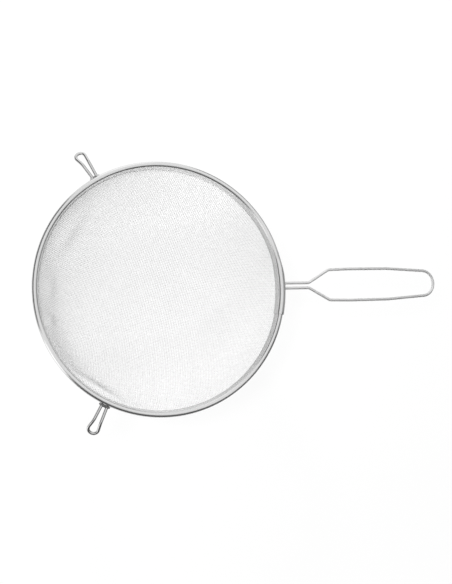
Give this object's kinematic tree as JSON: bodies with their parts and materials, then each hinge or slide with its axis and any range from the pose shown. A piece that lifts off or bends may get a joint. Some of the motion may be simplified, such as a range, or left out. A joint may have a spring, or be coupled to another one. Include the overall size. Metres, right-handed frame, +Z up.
{
  "type": "sieve",
  "caption": "Round kitchen sieve: deep bowl of fine steel wire cloth in a folded rim, with a bent wire loop handle and wire rest hooks on the far side.",
  "frame": {"origin": "on the bowl's axis at its flattened lowest point, where it stands", "axes": "+Z up along the bowl's axis through the open mouth, +X along the handle towards its tip, +Y to the left hook"},
  "size_m": [0.3438, 0.2171, 0.0831],
  "materials": {
    "polished_steel": "polished stainless steel strip and wire, slightly drawn along its length",
    "wire_cloth": "bright stainless steel wire, plain square weave"
  },
  "bodies": {
    "root": {"mesh_bowl": "wire_cloth", "rim_band": "polished_steel", "rim_core_wire": "polished_steel", "handle_wire": "polished_steel", "rest_hook_left": "polished_steel", "rest_hook_right": "polished_steel"}
  },
  "joints": []
}
